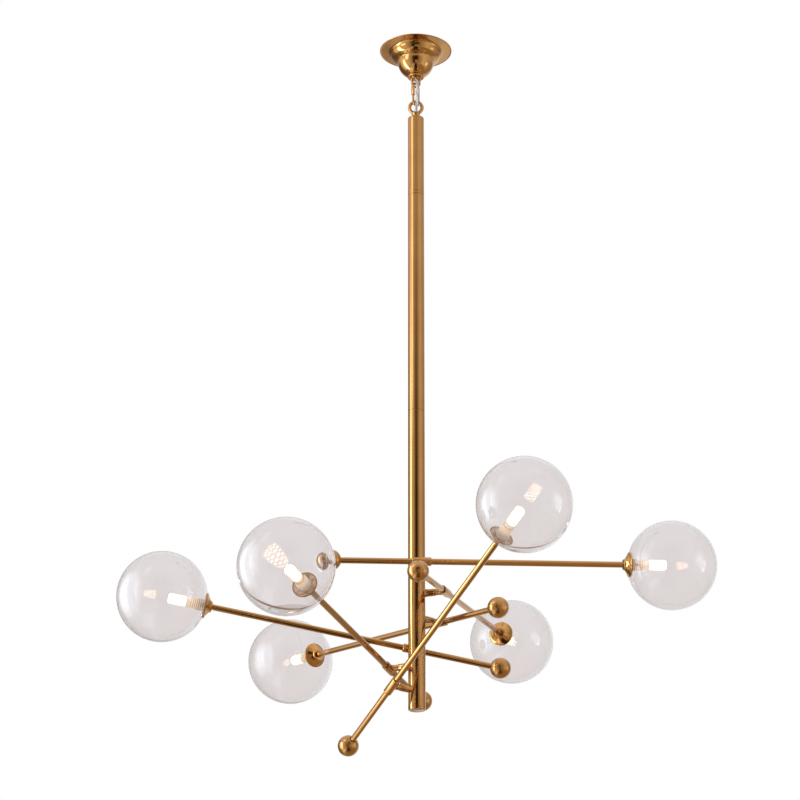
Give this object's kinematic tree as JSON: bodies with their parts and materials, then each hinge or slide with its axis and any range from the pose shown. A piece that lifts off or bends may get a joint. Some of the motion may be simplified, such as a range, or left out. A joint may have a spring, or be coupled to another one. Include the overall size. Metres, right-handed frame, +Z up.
{
  "type": "branch chandelier",
  "caption": "Hanging column with straight tilting rods set round it like a spiral stair, each with a clear glass globe at one end and a ball counterweight at the other.",
  "frame": {"origin": "on the ceiling, at the centre of the canopy's rim", "axes": "+Z up to the ceiling, +X to the right and -Y towards the picture's viewer"},
  "size_m": [0.9941, 0.9119, 1.2702],
  "materials": {
    "satin_brass": "brushed along the tube, satin, lacquered",
    "polished_brass": "polished",
    "zinc_steel": "zinc plated",
    "clear_glass": "clear, blown",
    "white_ceramic": "glazed white, heat proof",
    "lit_bulb": "frosted, glowing warm white",
    "clear_sheath": "translucent flexible sheath"
  },
  "bodies": {
    "ceiling_gear": {"mounting_crossbar": "zinc_steel", "canopy": "polished_brass", "screw_collar": "polished_brass", "hanging_loop": "polished_brass", "supply_cable": "clear_sheath"},
    "link": {"quick_link": "polished_brass", "link_nut": "polished_brass"},
    "column": {"column_eye": "polished_brass", "tube_upper": "satin_brass", "tube_middle": "satin_brass", "tube_lower": "satin_brass", "end_cap": "satin_brass", "stub_1": "satin_brass", "stub_2": "satin_brass", "stub_3": "satin_brass", "stub_4": "satin_brass", "stub_5": "satin_brass", "stub_6": "satin_brass"},
    "arm_1": {"knuckle_1": "satin_brass", "rod_1": "satin_brass", "ball_1": "polished_brass", "socket_cup_1": "polished_brass", "lamp_holder_1": "white_ceramic", "bulb_1": "lit_bulb", "globe_1": "clear_glass"},
    "arm_2": {"knuckle_2": "satin_brass", "rod_2": "satin_brass", "ball_2": "polished_brass", "socket_cup_2": "polished_brass", "lamp_holder_2": "white_ceramic", "bulb_2": "lit_bulb", "globe_2": "clear_glass"},
    "arm_3": {"knuckle_3": "satin_brass", "rod_3": "satin_brass", "ball_3": "polished_brass", "socket_cup_3": "polished_brass", "lamp_holder_3": "white_ceramic", "bulb_3": "lit_bulb", "globe_3": "clear_glass"},
    "arm_4": {"knuckle_4": "satin_brass", "rod_4": "satin_brass", "ball_4": "polished_brass", "socket_cup_4": "polished_brass", "lamp_holder_4": "white_ceramic", "bulb_4": "lit_bulb", "globe_4": "clear_glass"},
    "arm_5": {"knuckle_5": "satin_brass", "rod_5": "satin_brass", "ball_5": "polished_brass", "socket_cup_5": "polished_brass", "lamp_holder_5": "white_ceramic", "bulb_5": "lit_bulb", "globe_5": "clear_glass"},
    "arm_6": {"knuckle_6": "satin_brass", "rod_6": "satin_brass", "ball_6": "polished_brass", "socket_cup_6": "polished_brass", "lamp_holder_6": "white_ceramic", "bulb_6": "lit_bulb", "globe_6": "clear_glass"}
  },
  "joints": [
    {"name": "link_swing", "type": "hinge", "parent": "ceiling_gear", "child": "link", "pos_m": [0, 0, -0.07259], "axis": [1, 0, 0], "range_deg": [-15, 15], "deforming": ["supply_cable"]},
    {"name": "column_swing", "type": "hinge", "parent": "link", "child": "column", "pos_m": [0, 0, -0.10979], "axis": [0.5878, 0.809, 0], "range_deg": [-15, 15], "deforming": ["supply_cable"]},
    {"name": "arm_tilt_1", "type": "hinge", "parent": "column", "child": "arm_1", "pos_m": [0.00752, -0.04802, -0.97569], "axis": [0.1547, -0.988, 0], "range_deg": [-21.9, 28.1]},
    {"name": "arm_tilt_2", "type": "hinge", "parent": "column", "child": "arm_2", "pos_m": [0.04635, -0.01461, -1.01659], "axis": [0.9537, -0.3007, 0], "range_deg": [-23.7, 26.3]},
    {"name": "arm_tilt_3", "type": "hinge", "parent": "column", "child": "arm_3", "pos_m": [0.03825, 0.02999, -1.05749], "axis": [0.7869, 0.617, 0], "range_deg": [-23.3, 26.7]},
    {"name": "arm_tilt_4", "type": "hinge", "parent": "column", "child": "arm_4", "pos_m": [-0.00693, 0.0481, -1.09839], "axis": [-0.1426, 0.9898, 0], "range_deg": [-30, 20]},
    {"name": "arm_tilt_5", "type": "hinge", "parent": "column", "child": "arm_5", "pos_m": [-0.04522, 0.01781, -1.13929], "axis": [-0.9304, 0.3665, 0], "range_deg": [-27.2, 22.8]},
    {"name": "arm_tilt_6", "type": "hinge", "parent": "column", "child": "arm_6", "pos_m": [-0.04057, -0.02675, -1.18019], "axis": [-0.8348, -0.5505, 0], "range_deg": [-49, 1]}
  ]
}
